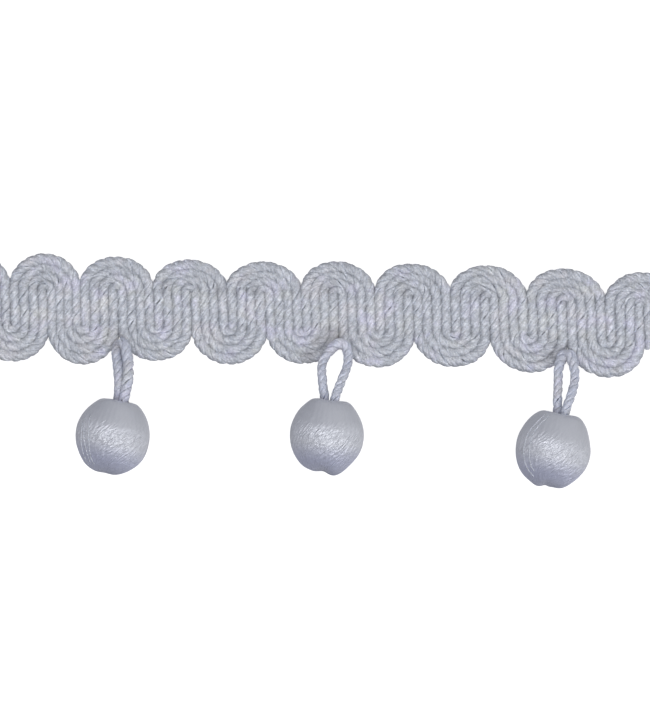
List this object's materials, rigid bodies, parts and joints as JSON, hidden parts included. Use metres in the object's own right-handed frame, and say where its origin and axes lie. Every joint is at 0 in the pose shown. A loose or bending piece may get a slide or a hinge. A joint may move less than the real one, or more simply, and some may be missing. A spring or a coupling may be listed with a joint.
{
  "type": "beaded fringe trimming",
  "caption": "Lilac-grey beaded fringe: a scroll gimp heading of twisted cords, with satin-wound round beads hung on doubled cord loops from its lower notches.",
  "frame": {"origin": "on the flat back of the heading, on its middle line, at the middle of the cut length", "axes": "+X along the trimming, to the right as seen from its face; +Y towards the heading's free top edge, away from the beads; +Z out of the face"},
  "size_m": [0.1003, 0.0295, 0.0099],
  "materials": {
    "gimp_cord": "satin twisted viscose cord, lilac grey",
    "loop_cord": "satin twisted viscose cord, lilac grey",
    "bead_thread": "bright satin filament thread, lilac grey"
  },
  "bodies": {
    "root": {"heading": "gimp_cord", "loop_1": "loop_cord", "loop_2": "loop_cord", "loop_3": "loop_cord", "bead_1": "bead_thread", "bead_2": "bead_thread", "bead_3": "bead_thread"}
  },
  "joints": []
}
